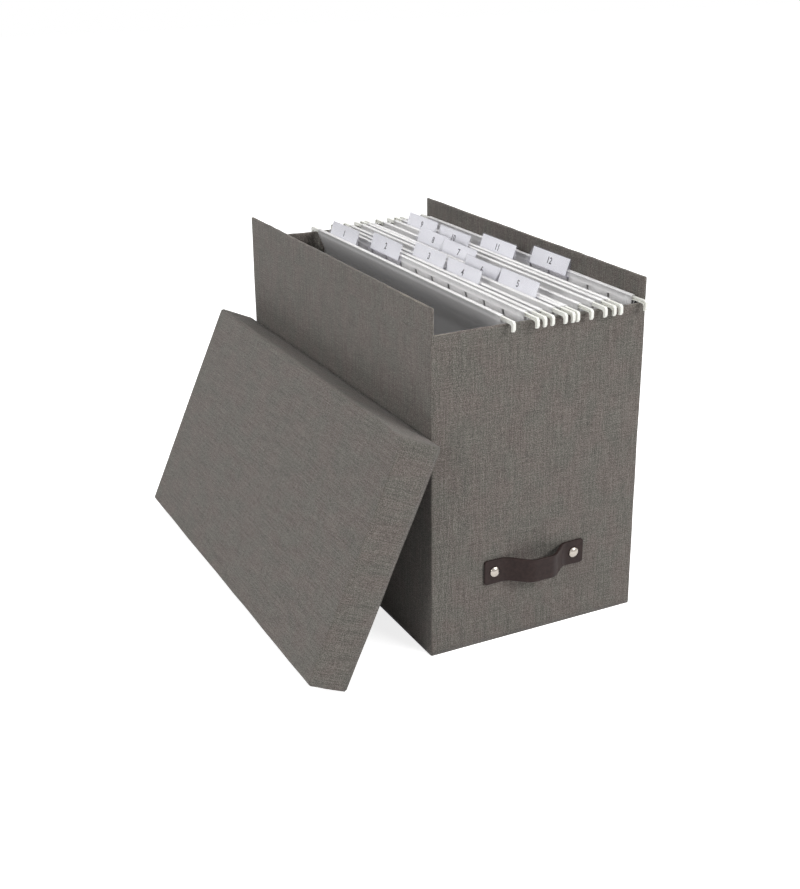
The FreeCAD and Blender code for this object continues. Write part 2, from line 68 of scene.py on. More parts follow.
# ---- shader nodes --------------------------------------------------------------------
def linear(colour: str) -> tuple[float, float, float, float]:
    """Turn an sRGB hex colour into linear RGBA.

    Args:
        colour: six hex digits, such as "8a8680".

    Returns:
        The linear red, green and blue, and an alpha of 1.
    """
    parts = [int(colour[i:i + 2], 16) / 255 for i in (0, 2, 4)]
    curve = [c / 12.92 if c <= 0.04045 else ((c + 0.055) / 1.055) ** 2.4 for c in parts]
    return curve[0], curve[1], curve[2], 1.0


def feed(tree: Tree, node: Node, inputs: dict) -> None:
    """Give a node's inputs their values and links.

    Args:
        tree: the node tree.
        node: the node.
        inputs: a value or another node's output for each input, by name or index.
    """
    for key, value in inputs.items():
        if isinstance(value, Socket):
            tree.links.new(value, node.inputs[key])
        else:
            node.inputs[key].default_value = value


def add(tree: Tree, kind: str, inputs: dict | None = None, **settings) -> Node:
    """Add one node with its settings, its values and its links.

    Args:
        tree: the node tree.
        kind: the node's type name.
        inputs: a value or another node's output for each input, by name or index.
        settings: the node's own properties.

    Returns:
        The new node.
    """
    made = tree.nodes.new(kind)
    for key, value in settings.items():
        setattr(made, key, value)
    feed(tree, made, inputs or {})
    return made


def ramp(tree: Tree, factor: Socket, stops: list[tuple[float, str]]) -> Socket:
    """Add a colour ramp through sRGB hex stops.

    Args:
        tree: the node tree.
        factor: the output that drives the ramp.
        stops: the position and colour of each stop, in order.

    Returns:
        The colour's output.
    """
    made = add(tree, "ShaderNodeValToRGB", {0: factor})
    elements = made.color_ramp.elements
    while len(elements) < len(stops):
        elements.new(1.0)
    for element, (position, colour) in zip(elements, stops):
        element.position = position
        element.color = linear(colour)
    return made.outputs[0]


def own_space(tree: Tree) -> Socket:
    """The object's own coordinates, in metres."""
    return add(tree, "ShaderNodeTexCoord").outputs["Object"]


def noise(tree: Tree, place: Socket, size_mm: float, detail: float = 2.0,
          roughness: float = 0.5) -> Socket:
    """Noise over space with grains of one size.

    Args:
        tree: the node tree.
        place: the coordinates, in metres.
        size_mm: the size of a grain.
        detail: how many times finer grains are added.
        roughness: how much the finer grains count.

    Returns:
        The noise's output, from 0 to 1.
    """
    values = {"Vector": place, "Scale": 1 / (size_mm * MM), "Detail": detail,
              "Roughness": roughness}
    return add(tree, "ShaderNodeTexNoise", values).outputs[0]


def remap(tree: Tree, value: Socket, source: tuple[float, float] = (0.0, 1.0),
          target: tuple[float, float] = (0.0, 1.0)) -> Socket:
    """A value carried straight from one range to another, and held at its ends."""
    ends = dict(zip(("From Min", "From Max", "To Min", "To Max"), (*source, *target)))
    return add(tree, "ShaderNodeMapRange", {"Value": value, **ends}).outputs[0]


def reckon(tree: Tree, operation: str, *values: Socket | float) -> Socket:
    """The result of one operation on numbers or outputs."""
    return add(tree, "ShaderNodeMath", dict(enumerate(values)), operation=operation).outputs[0]


def raised(tree: Tree, height: Socket, depth_mm: float) -> Socket:
    """The normal of a surface whose relief is that deep from height 0 to height 1."""
    values = {"Height": height, "Strength": 1.0, "Distance": depth_mm * MM}
    return add(tree, "ShaderNodeBump", values).outputs[0]


def new_material(name: str) -> tuple[Material, Tree, Node]:
    """Start a node material.

    Args:
        name: the material's name.

    Returns:
        The material, its node tree and its Principled shader.
    """
    material = bpy.data.materials.new(name)
    material.use_nodes = True
    tree = material.node_tree
    return material, tree, tree.nodes["Principled BSDF"]


# ---- surfaces ------------------------------------------------------------------------
@dataclass(frozen=True)
class Unevenness:
    """A smooth random height field over space: the sum of plane waves near one wavelength."""

    height: float           # metres, about one standard deviation
    wavelength: float       # metres
    seed: int
    waves: int = 14
    shares: tuple[float, float] = (0.7, 1.5)    # range of a wave's length over wavelength

    def __call__(self, points: Array) -> Array:
        """Sum the waves at some points.

        Args:
            points: the points, of shape (..., 3).

        Returns:
            The height at each point.
        """
        draw = np.random.default_rng(self.seed)
        directions = draw.normal(size=(self.waves, 3))
        directions /= np.linalg.norm(directions, axis=1, keepdims=True)
        pitch = math.tau / (self.wavelength * draw.uniform(*self.shares, self.waves))
        phases = draw.uniform(0, math.tau, self.waves)
        waves = np.sin(points @ (directions * pitch[:, None]).T + phases)
        return self.height * waves.sum(-1) * math.sqrt(2 / self.waves)


@dataclass
class Patch:
    """A grid of points with the thread coordinates printed on it.

    points has shape (rows, columns, 3) in metres and threads (rows, columns, 2) in
    millimetres. The faces look along rows x columns, or the other way if flipped.
    """

    points: Array
    threads: Array
    flipped: bool = False
    holes: Array | None = None     # true for each cell of the grid that is cut out

    def outward(self) -> Array:
        """Work out the normals: the cross product of the grid's two directions of travel.

        Returns:
            A unit normal for each point.
        """
        normal = np.cross(np.gradient(self.points, axis=0), np.gradient(self.points, axis=1))
        normal = unit(normal)
        return -normal if self.flipped else normal

    def moved(self, heights: Array) -> "Patch":
        """The same patch with each point raised along its normal."""
        raised_points = self.points + self.outward() * heights[..., None]
        return Patch(raised_points, self.threads, self.flipped, self.holes)


def unit(vectors: Array) -> Array:
    """The vectors at length one; a zero vector stays zero."""
    return vectors / np.maximum(np.linalg.norm(vectors, axis=-1, keepdims=True), TINY)


def spread(*parts: Array | float) -> Array:
    """Coordinates side by side, each spread over the whole grid: a function on a grid."""
    return np.stack(np.broadcast_arrays(*parts), -1)


def travel(points: Array) -> Array:
    """Distance run along a list of points, in the points' unit."""
    run = np.linalg.norm(np.diff(points, axis=0), axis=1)
    return np.concatenate([[0.0], np.cumsum(run)])


def steps(low: float, high: float, spacing: float, edge: float = 0.0,
          fine: int = 5) -> Array:
    """Positions along a side: even steps, with finer ones across the rounded part at each end.

    Args:
        low: the first position.
        high: the last position.
        spacing: the largest step between the rounded parts.
        edge: the width of the rounded part at each end.
        fine: the number of steps across a rounded part.

    Returns:
        Rising positions from low to high.
    """
    count = max(2, int(math.ceil((high - low - 2 * edge) / spacing)) + 1)
    middle = np.linspace(low + edge, high - edge, count)
    if edge == 0:
        return middle
    share = rounded_steps(fine)[:-1]
    return np.concatenate([low + edge * share, middle, (high - edge * share)[::-1]])


def rounded_steps(count: int) -> Array:
    """Shares of a sharp edge, from 0 to 1, that fall at equal angles of its rounding."""
    return np.tan(np.linspace(0, math.pi / 4, count + 1))


def soft_box(points: Array, low: Array, high: Array, radius: float) -> Array:
    """Round a sharp box: each point goes to that radius from the nearest point of its core."""
    core = np.clip(points, low + radius, high - radius)     # the box shrunk by the radius
    return core + radius * unit(points - core)


def loop_around(half_x: float, half_y: float, xs: Array, ys: Array) -> Array:
    """Points once round a rectangle, from its front left corner by the front, and back there.

    Args:
        half_x: half the rectangle's width.
        half_y: half its length.
        xs: positions along the front, from left to right.
        ys: positions along the right side, from front to rear.

    Returns:
        The points, of shape (count, 2); the first one is repeated at the end.
    """
    front, right = spread(xs, -half_y), spread(half_x, ys)
    rear, left = front[::-1] * [1, -1], right[::-1] * [-1, 1]
    return np.concatenate([front[:-1], right[:-1], rear[:-1], left])


def rim_roll(wall: float, radius: float, height: float, depth: float, fine: int = 5,
             spacing: float = 3 * MM) -> tuple[Array, Array]:
    """The section of cloth over the edge of a wall: up over one rounded edge, across, over the
    other and down the far side.

    Args:
        wall: the wall's thickness over the cloth.
        radius: the radius of both edges.
        height: the wall's height, signed: the roll is at its top.
        depth: how far down the far side the cloth goes, from the wall's top.
        fine: steps in each rounded edge.
        spacing: the largest step down the far side.

    Returns:
        The depth into the wall and the height of each point of the section.
    """
    turn = np.linspace(0, QUARTER, fine + 1)
    rising_in, rising_z = radius * (1 - np.cos(turn)), height - radius + radius * np.sin(turn)
    down = np.linspace(height - radius, height - depth, max(2, int(depth / spacing)))[1:]
    into = np.concatenate([rising_in, wall - rising_in[::-1], np.full_like(down, wall)])
    up = np.concatenate([rising_z, rising_z[::-1], down])
    return into, up


def placed(name: str, data: bpy.types.ID, where: Matrix = Matrix()) -> Piece:
    """Make an object of a mesh, a camera or a light, and link it to the scene.

    Args:
        name: the object's name.
        data: what it shows.
        where: its place and turn; without it the object stands at the origin.

    Returns:
        The object.
    """
    made = bpy.data.objects.new(name, data)
    made.matrix_world = where
    bpy.context.scene.collection.objects.link(made)
    return made


def build(name: str, patches: list[Patch], weld: float = 2e-6) -> Piece:
    """Join patches into one mesh object, with shared points welded and the thread map set.

    Args:
        name: the object's name.
        patches: the grids, whose borders meet at equal points.
        weld: points closer than about this are one point.

    Returns:
        The object, at the origin.
    """
    points, quads, threads, start = [], [], [], 0
    for patch in patches:
        rows, columns = patch.points.shape[:2]
        index = np.arange(rows * columns).reshape(rows, columns)
        corners = [index[:-1, :-1], index[1:, :-1], index[1:, 1:], index[:-1, 1:]]
        if patch.flipped:
            corners.reverse()
        quad = np.stack(corners, -1).reshape(-1, 4)
        if patch.holes is not None:
            quad = quad[~patch.holes.ravel()]
        quads.append(quad + start)
        threads.append(patch.threads.reshape(-1, 2)[quad])
        points.append(patch.points.reshape(-1, 3))
        start += rows * columns
    all_points, all_quads = np.concatenate(points), np.concatenate(quads)
    keys = np.round(all_points / weld).astype(np.int64)
    first, shared = np.unique(keys, axis=0, return_index=True, return_inverse=True)[1:]
    vertices, faces = all_points[first], shared.reshape(-1)[all_quads]
    printed = np.concatenate(threads)
    # a quad with two corners in one point becomes a triangle, and a thinner one is left out
    different = faces != np.roll(faces, -1, axis=1)
    distinct = different.sum(1)
    lists, prints = [], []
    for sides in (4, 3):
        keep = distinct == sides
        if keep.any():
            mask = different[keep] if sides == 3 else np.ones((keep.sum(), 4), bool)
            lists.append(faces[keep][mask].reshape(-1, sides))
            prints.append(printed[keep][mask])
    mesh = bpy.data.meshes.new(name)
    mesh.from_pydata(vertices.tolist(), [], [row for part in lists for row in part.tolist()])
    uv = mesh.uv_layers.new(name=THREADS)
    uv.data.foreach_set("uv", np.concatenate(prints).astype(np.float32).ravel())
    mesh.polygons.foreach_set("use_smooth", np.ones(len(mesh.polygons), bool))
    mesh.update()
    return placed(name, mesh)


def thicken(piece: Piece, thickness: float, offset: float = -1.0) -> None:
    """Give a sheet its thickness: on the side away from its normals, or at offset 0 on both."""
    solid = piece.modifiers.new("thickness", "SOLIDIFY")
    solid.thickness, solid.offset = thickness, offset


# ---- finishes ------------------------------------------------------------------------
@dataclass(frozen=True)
class ThreadLayer:
    """One layer of a weave: noise with grains of one size, and how much it counts."""

    weft_mm: float          # the grains' size along the weft
    warp_mm: float          # and along the warp
    weight: float = 1.0


@dataclass(frozen=True)
class BookCloth:
    """Book cloth: a matt cotton and linen weave in a heathered warm grey, glued over board.

    Single threads of 0.45 mm are too fine to show, so the weave that shows is drawn from
    pairs of like-coloured threads, about a millimetre wide.
    """

    name: str = "woven_book_cloth"
    knots: ThreadLayer = ThreadLayer(0.8, 0.8, 1.9)
    runs: tuple[ThreadLayer, ...] = (ThreadLayer(0.85, 4.5, 0.6), ThreadLayer(4.0, 0.85, 0.5))
    slubs: tuple[ThreadLayer, ...] = (ThreadLayer(1.2, 30.0, 0.6), ThreadLayer(24.0, 1.2, 0.4))
    contrast: float = 0.56          # of the summed layers, from the darkest to the middle tone
    drift: ThreadLayer = ThreadLayer(16.0, 25.6)            # the slow changes in the dye
    drift_share: float = 0.25
    dark: str = "3d3935"
    middle: str = "635e59"
    light: str = "8a847e"
    warm: str = "6d625e"
    cool: str = "60635c"
    bump_mm: float = 0.12

    def grain(self, tree: Tree, place: Socket, layer: ThreadLayer) -> Socket:
        """Noise on the thread map with the grains of one layer.

        Args:
            tree: the node tree.
            place: the thread coordinates, in millimetres.
            layer: the size of the grains.

        Returns:
            The noise's factor output.
        """
        scale = (1 / layer.weft_mm, 1 / layer.warp_mm, 1)
        scaled = add(tree, "ShaderNodeMapping", {"Vector": place, "Scale": scale})
        values = {"Vector": scaled.outputs[0], "Scale": 1.0, "Detail": 1.0, "Roughness": 0.5}
        return add(tree, "ShaderNodeTexNoise", values, noise_dimensions="2D").outputs["Fac"]

    def total(self, tree: Tree, place: Socket, layers: tuple[ThreadLayer, ...],
              start: Socket | float) -> Socket | float:
        """Add the weighted noise of some layers to what is there.

        Args:
            tree: the node tree.
            place: the thread coordinates, in millimetres.
            layers: the layers to add.
            start: the sum so far.

        Returns:
            The new sum.
        """
        for layer in layers:
            start = reckon(tree, "MULTIPLY_ADD", self.grain(tree, place, layer), layer.weight,
                           start)
        return start

    def paint(self, tree: Tree, shader: Node) -> None:
        """Set the knots, runs and slubs of both thread systems, and a drift of the dye.

        Args:
            tree: the node tree.
            shader: its Principled shader.
        """
        place = add(tree, "ShaderNodeUVMap", uv_map=THREADS).outputs[0]
        woven = (self.knots, *self.runs)
        relief = self.total(tree, place, woven, 0.0)
        uneven = self.total(tree, place, self.slubs, relief)
        centre = 0.5 * sum(layer.weight for layer in (*woven, *self.slubs))
        tone = remap(tree, uneven, (centre - self.contrast, centre + self.contrast))
        colour = ramp(tree, tone, [(0.0, self.dark), (0.5, self.middle), (1.0, self.light)])
        tint = ramp(tree, self.grain(tree, place, self.drift),
                    [(0.35, self.cool), (0.65, self.warm)])
        dyed = add(tree, "ShaderNodeMix", {0: self.drift_share, 6: colour, 7: tint},
                   data_type="RGBA")
        feed(tree, shader, {
            "Base Color": dyed.outputs[2], "Normal": raised(tree, relief, self.bump_mm),
            "Roughness": 0.9, "Specular IOR Level": 0.25,
            "Sheen Weight": 0.15, "Sheen Roughness": 0.5})


@dataclass(frozen=True)
class PlainStock:
    """A matt paper, board or card: faint fibres and clouding about one colour."""

    name: str
    colour: str
    darker: str
    fibre_mm: float = 0.8           # length of the fibres that show
    cloud_mm: float = 14.0          # size of the clouding
    roughness: float = 0.85
    bump_mm: float = 0.02

    def paint(self, tree: Tree, shader: Node) -> None:
        """Set fibres and clouds between two near shades, and a fine bump.

        Args:
            tree: the node tree.
            shader: its Principled shader.
        """
        place = own_space(tree)
        fibre = noise(tree, place, self.fibre_mm)
        both = reckon(tree, "ADD", fibre, noise(tree, place, self.cloud_mm))
        tone = remap(tree, both, (0.7, 1.3))
        feed(tree, shader, {
            "Base Color": ramp(tree, tone, [(0.0, self.darker), (1.0, self.colour)]),
            "Normal": raised(tree, fibre, self.bump_mm),
            "Roughness": self.roughness, "Specular IOR Level": 0.3})


@dataclass(frozen=True)
class StrapLeather:
    """Vegetable-tanned cowhide, dyed dark brown and waxed: fine grain and a soft gloss."""

    name: str = "dyed_cowhide"
    pore_mm: float = 0.45
    crease_mm: float = 3.0
    dark: str = "241a19"
    light: str = "342826"
    gloss: tuple[float, float] = (0.42, 0.58)
    bump_mm: float = 0.05

    def paint(self, tree: Tree, shader: Node) -> None:
        """Set pores from a cell pattern, creases from noise, and the wax in the gloss.

        Args:
            tree: the node tree.
            shader: its Principled shader.
        """
        place = own_space(tree)
        pores = add(tree, "ShaderNodeTexVoronoi",
                    {"Vector": place, "Scale": 1 / (self.pore_mm * MM)}, feature="SMOOTH_F1")
        crease = noise(tree, place, self.crease_mm, 4.0, 0.6)
        relief = reckon(tree, "ADD", pores.outputs["Distance"], crease)
        feed(tree, shader, {
            "Base Color": ramp(tree, crease, [(0.3, self.dark), (0.75, self.light)]),
            "Normal": raised(tree, relief, self.bump_mm),
            "Roughness": remap(tree, crease, target=self.gloss), "Specular IOR Level": 0.16})


@dataclass(frozen=True)
class Metal:
    """Plated or coated metal: faint clouding in its gloss, and fine tool marks."""

    name: str
    colour: str
    darker: str
    metallic: float
    roughness: float
    mark_mm: float = 0.6

    def paint(self, tree: Tree, shader: Node) -> None:
        """Let colour and roughness drift a little over the piece.

        Args:
            tree: the node tree.
            shader: its Principled shader.
        """
        marks = noise(tree, own_space(tree), self.mark_mm, 3.0)
        gloss = (0.8 * self.roughness, 1.2 * self.roughness)
        feed(tree, shader, {
            "Base Color": ramp(tree, marks, [(0.3, self.darker), (0.7, self.colour)]),
            "Roughness": remap(tree, marks, target=gloss), "Metallic": self.metallic})


@dataclass(frozen=True)
class ClearSheet:
    """Clear rigid film, heat-formed: see-through, with a faint violet haze and light scuffs.

    Its foot, where it clips into the card, is pressed into fine upright ribs. They are not modelled
    as relief: their glints are painted as a lilac hatch of colour and haze.
    """

    name: str = "clear_formed_film"
    colour: str = "e9e8f4"
    # the lilac of the ribs' painted glints, and the haze that they keep back
    rib_colour: str = "b8b3c8"
    haze: float = 0.06              # the share of the light that each face keeps back
    rib_haze: float = 0.18
    rib_mm: float = 2.2             # the pitch of the ribs that show; real ones are 1.2 mm apart
    foot: tuple[float, float] = (246.4 * MM, 245.4 * MM)    # the ribs fade in between these
    scuff_mm: float = 5.0

    def paint(self, tree: Tree, shader: Node) -> None:
        """Set a haze whose gloss varies with the scuffs, and the ribs' painted glints as waves across the foot.

        Args:
            tree: the node tree.
            shader: its Principled shader.
        """
        place = own_space(tree)
        scuffs = noise(tree, place, self.scuff_mm, 5.0)
        # the wave texture runs through 20 radians for each unit of its scale
        ribs = add(tree, "ShaderNodeTexWave", {"Vector": place, "Distortion": 0.0,
                                               "Scale": math.tau / (20 * self.rib_mm * MM)},
                   bands_direction="Y")
        height = add(tree, "ShaderNodeSeparateXYZ", {0: place}).outputs["Z"]
        foot = remap(tree, height, self.foot)
        # painted glints: stripes where the ribs catch the light, drawn in colour and haze
        pressed = reckon(tree, "MULTIPLY", ribs.outputs["Fac"], foot)
        feed(tree, shader, {
            "Base Color": ramp(tree, foot, [(0.0, self.colour), (1.0, self.rib_colour)]),
            "Alpha": remap(tree, pressed, target=(self.haze, self.rib_haze)),
            "Roughness": remap(tree, scuffs, (0.4, 1.0), (0.05, 0.25)), "IOR": 1.5})


class Finish(Enum):
    """The finishes of the box, each with its builder."""

    CLOTH = BookCloth()
    # pressed from waste paper: dull and coarse, seen only where the cloth leaves it bare
    GREYBOARD = PlainStock("raw_greyboard", "9c968c", "8a847a", fibre_mm=1.6)
    # a dark paper, made darker still as painted shade: an even charcoal for the inside of the box
    LINING = PlainStock("lining_paper_with_painted_shade", "333132", "2c2a2b", cloud_mm=30)
    LEATHER = StrapLeather()
    # plated and tumbled: a bright, slightly soft mirror
    NICKEL = Metal("nickel_plated_brass", "aea79f", "9d968e", metallic=1.0, roughness=0.2)
    # calendered card: a clean white with a faint sheen at its folds
    CARD = PlainStock("white_file_card", "f9f8f8", "f2f1f1", cloud_mm=40, roughness=0.75)
    # powder-coated wire: an ivory edge of light along each bar and hook
    COATED_STEEL = Metal("ivory_coated_steel", "f4f4ee", "ebebe4", metallic=0.0, roughness=0.4)
    CLEAR = ClearSheet()
    # uncoated writing paper: matt, a little cooler than the card
    LABEL = PlainStock("white_label_paper", "fafafe", "f3f3f8", cloud_mm=20, roughness=0.7)
    # absorbed toner: a soft grey that breaks up with the paper's fibres
    INK = PlainStock("grey_printing_ink", "504c52", "46424a", fibre_mm=0.4, roughness=0.6)

    @property
    def material(self) -> Material:
        """Look the finish's material up, and make it the first time.

        Returns:
            The material.
        """
        made = bpy.data.materials.get(self.value.name)
        if made is None:
            made, tree, shader = new_material(self.value.name)
            self.value.paint(tree, shader)
        return made


SLOT_FINISH = {
    "book_cloth": Finish.CLOTH, "greyboard": Finish.GREYBOARD, "lining_paper": Finish.LINING,
    "strap_leather": Finish.LEATHER, "rivet_metal": Finish.NICKEL, "file_card": Finish.CARD,
    "hanger_bar": Finish.COATED_STEEL, "clear_tab": Finish.CLEAR, "label_paper": Finish.LABEL,
}


def dress(piece: Piece, material: Material) -> None:
    """Give a piece one material, in place of what it has."""
    piece.data.materials.clear()
    piece.data.materials.append(material)


def settle(piece: Piece, slot: str, body: str, node: str) -> Piece:
    """Give a new piece the finish of its slot, and put it in place of a plain node.

    Args:
        piece: the piece.
        slot: its material slot.
        body: the body that it rides on.
        node: the node that it stands for.

    Returns:
        The piece.
    """
    dress(piece, SLOT_FINISH[slot].material)
    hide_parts(node)
    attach(piece, body)
    return piece


# ---- box -----------------------------------------------------------------------------
@dataclass
class BoxWrap:
    """The cloth on the box: round the four walls, over their top edges and down inside."""

    wall: float = 2.7 * MM          # board with cloth on both faces
    radius: float = 1.2 * MM        # every folded edge
    cloth: float = 0.35 * MM
    foot: float = 0.4 * MM          # the wrap starts above the cloth of the base
    turn_in: float = 20 * MM
    spacing: float = 4 * MM
    rim_spacing: float = 2 * MM
    edge_steps: int = 5
    horn_steps: int = 7             # heights between the shoulder and the rim's rounding
    slow: Unevenness = Unevenness(0.10 * MM, 60 * MM, 3)
    rim_wave: Unevenness = Unevenness(0.11 * MM, 14 * MM, 5)

    def __post_init__(self) -> None:
        """Take the outer size from the frame."""
        self.half_x, self.half_y, self.side_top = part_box("box_cloth")[1]
        self.end_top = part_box("front_end_board")[1].z + self.foot
        self.shoulder = self.end_top - self.radius

    def ring(self) -> Patch:
        """Carry a rounded rectangle up to the shoulder of the end walls: the outer skin.

        Returns:
            The patch.
        """
        xs = steps(-self.half_x, self.half_x, self.spacing, self.radius)
        ys = steps(-self.half_y, self.half_y, self.spacing, self.radius)
        plan = loop_around(self.half_x, self.half_y, xs, ys)
        heights = np.linspace(self.foot, self.shoulder, int(self.shoulder / self.spacing))
        half = np.array([self.half_x, self.half_y, OPEN])
        points = soft_box(spread(plan[:, :1], plan[:, 1:], heights), -half, half, self.radius)
        return Patch(points, spread(travel(plan)[:, None], heights) / MM)

    def end_rim(self, facing: int) -> Patch:
        """Lay the cloth over the top of an end wall: its section, carried across the wall.

        Args:
            facing: -1 for the front wall and 1 for the rear wall.

        Returns:
            The patch, from the outer shoulder over the top and down the inside.
        """
        into, up = rim_roll(self.wall, self.radius, self.end_top, self.turn_in)
        reach = self.half_x - self.radius
        xs = steps(-reach, reach, self.rim_spacing)[:, None]
        points = spread(xs, facing * (self.half_y - into), up)
        crest = np.clip((up - self.shoulder) / self.radius, 0, 1)
        points[..., 2] += crest * self.rim_wave(points)
        section = travel(spread(into, up))
        return Patch(points, spread(xs, self.shoulder + section) / MM, flipped=facing > 0)

    def horn(self, side: int) -> list[Patch]:
        """Build the part of a side wall above the end walls: five faces of a rounded slab.

        Args:
            side: -1 for the left wall and 1 for the right wall.

        Returns:
            The outer and inner faces, the two ends and the top.
        """
        outer, inner = side * self.half_x, side * (self.half_x - self.wall)
        low = np.array([min(outer, inner), -self.half_y, -OPEN])
        high = np.array([max(outer, inner), self.half_y, self.side_top])
        xs = steps(low[0], high[0], self.rim_spacing, self.radius)[:, None]
        ys = steps(low[1], high[1], self.spacing, self.radius)
        edge = self.side_top - self.radius * rounded_steps(self.edge_steps)[::-1]
        rise = np.linspace(self.shoulder, edge[0], self.horn_steps)[:-1]
        zs = np.concatenate([rise, edge])
        # each sharp face, the axes of its weft and warp, and whether it is flipped
        faces = [(spread(low[0], ys[:, None], zs), [1, 2], True),
                 (spread(high[0], ys[:, None], zs), [1, 2], False),
                 (spread(xs, low[1], zs), [0, 2], False), (spread(xs, high[1], zs), [0, 2], True),
                 (spread(xs, ys, self.side_top), [1, 0], False)]
        return [self.slab_face(sharp, low, high, axes, flipped) for sharp, axes, flipped in faces]

    def slab_face(self, sharp: Array, low: Array, high: Array, axes: list[int],
                  flipped: bool) -> Patch:
        """Round one face of a sharp slab, and make its rim a little uneven.

        Args:
            sharp: the face of the sharp slab.
            low: the sharp slab's lowest corner.
            high: its highest corner.
            axes: the axes of the weft and of the warp.
            flipped: whether the face looks against rows x columns.

        Returns:
            The rounded face.
        """
        points = soft_box(sharp, low, high, self.radius)
        fade = 4 * self.radius
        crest = np.clip((points[..., 2] - (self.side_top - fade)) / fade, 0, 1)
        points[..., 2] += crest * self.rim_wave(points)
        return Patch(points, sharp[..., axes] / MM, flipped)

    def build(self) -> list[Piece]:
        """Build the wrap as one piece, in place of the plain one.

        Returns:
            The piece, in a list.
        """
        patches = [self.ring(), self.end_rim(-1), self.end_rim(1), *self.horn(-1), *self.horn(1)]
        piece = build("box_wrap", [patch.moved(self.slow(patch.points)) for patch in patches])
        thicken(piece, self.cloth)
        return [settle(piece, "book_cloth", "box", "box_cloth")]


# ---- lid -----------------------------------------------------------------------------
@dataclass
class LidWrap:
    """The cloth on the lid: over the top and down the skirts, round the rim and up inside.

    It is worked out in the lid's own frame, rim down with the middle of the rim at the
    origin, and then leaned against the box as the frame says.
    """

    width: float = 187 * MM
    length: float = 364 * MM
    depth: float = 31 * MM
    wall: float = 2.7 * MM
    radius: float = 3.0 * MM        # top edges and corners
    rim_radius: float = 1.2 * MM
    cloth: float = 0.35 * MM
    turn_in: float = 15 * MM
    spacing: float = 4 * MM
    skirt_steps: int = 8
    edge_steps: int = 6
    corner_steps: int = 7
    lap_width: float = 2.2 * MM     # the long skirts' cloth, folded round onto the short skirts
    lap_height: float = 0.3 * MM
    lap_slope: float = 0.25 * MM    # the width over which it rises
    lap_onset: float = 0.3 * MM     # it starts this far inside the short skirt's face
    lap_blend: float = 0.2 * MM     # and has its full height this much further out
    lap_steps_mm: tuple[float, ...] = (0.0, 0.15, 0.3, 0.5, 0.8, 1.2)   # from the corner inwards
    seam_height: float = 0.55 * MM  # the folded cloth along each upright corner
    seam_width: float = 0.35        # as a share of the corner's rounding, to each side
    seam_top: float = 8.5 * MM      # the seam starts this far below the top
    seam_fade: float = 3 * MM
    slow: Unevenness = Unevenness(0.12 * MM, 70 * MM, 11)
    edge_wave: Unevenness = Unevenness(0.10 * MM, 16 * MM, 12)

    def __post_init__(self) -> None:
        """Take the foot of the lid, its lean and its place along the box from the frame."""
        tip = next(joint for joint in frame["joints"] if joint["name"] == "lid_tip")
        low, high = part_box("lid_cloth")
        self.lean = math.radians(tip["range_deg"][1])
        foot = Vector((tip["pos_m"][0], (low.y + high.y) / 2, tip["pos_m"][2]))
        turn = Matrix.Rotation(self.lean - QUARTER, 4, "Y")
        self.place = Matrix.Translation(foot) @ turn @ Matrix.Translation((self.width / 2, 0, 0))

    def rounded(self, sharp: Array) -> Array:
        """Points of the sharp lid, moved onto the lid with rounded edges."""
        high = np.array([self.width / 2, self.length / 2, self.depth])
        return soft_box(sharp, np.array([-high[0], -high[1], -OPEN]), high, self.radius)

    def skirt(self, plan: Array) -> Patch:
        """Carry the plan up and round it into the top: the outside of the four skirts.

        Args:
            plan: points once round the lid.

        Returns:
            The patch.
        """
        straight_top = self.depth - self.radius
        edge = self.radius * (1 - rounded_steps(self.edge_steps)[::-1])
        straight = np.linspace(self.rim_radius, straight_top, self.skirt_steps)[:-1]
        heights = np.concatenate([straight, straight_top + edge])
        sharp = spread(plan[:, :1], plan[:, 1:], heights)
        return Patch(self.rounded(sharp), spread(travel(plan)[:, None], heights) / MM)

    def rim(self, plan: Array) -> Patch:
        """Carry a section over the board's edge along the plan: the cloth round the rim.

        Args:
            plan: points once round the lid.

        Returns:
            The patch.
        """
        into, up = rim_roll(self.wall, self.rim_radius, 0.0, self.turn_in)
        half = np.array([self.width, self.length]) / 2 - self.radius
        core = np.clip(plan, -half, half)
        around = core[:, None] + unit(plan - core)[:, None] * (self.radius - into)[:, None]
        section = travel(spread(into, up))
        return Patch(spread(around[..., 0], around[..., 1], -up),
                     spread(travel(plan)[:, None], -section) / MM, flipped=True)

    def lapped(self, patch: Patch) -> Patch:
        """Raise the strips of doubled cloth at the ends of the two short skirts.

        Args:
            patch: the outside of the skirts.

        Returns:
            The skirts with the strips.
        """
        x, y = np.abs(patch.points[..., 0]), np.abs(patch.points[..., 1])
        on_short = np.clip((y - self.length / 2 + self.lap_onset) / self.lap_blend, 0, 1)
        reach = self.width / 2 - self.lap_width - x - self.edge_wave(patch.points)
        near_corner = np.clip(0.5 - reach / self.lap_slope, 0, 1)
        return patch.moved(on_short * near_corner * self.lap_height)

    def seamed(self, patch: Patch) -> Patch:
        """Raise a narrow ridge along the upright corners, where the cloth is folded over itself.

        Its section is a bell curve across the middle of the corner's rounding, and it fades out
        below the top edge.

        Args:
            patch: the outside of the skirts.

        Returns:
            The skirts with the ridges.
        """
        x = (np.abs(patch.points[..., 0]) - self.width / 2) / self.radius + 1
        y = (np.abs(patch.points[..., 1]) - self.length / 2) / self.radius + 1
        in_corner = (x > 0) & (y > 0)
        across = (x - y) / self.seam_width
        below = (self.depth - self.seam_top - patch.points[..., 2]) / self.seam_fade
        height = self.seam_height * np.exp(-across ** 2) * np.clip(below, 0, 1) * in_corner
        return patch.moved(height)

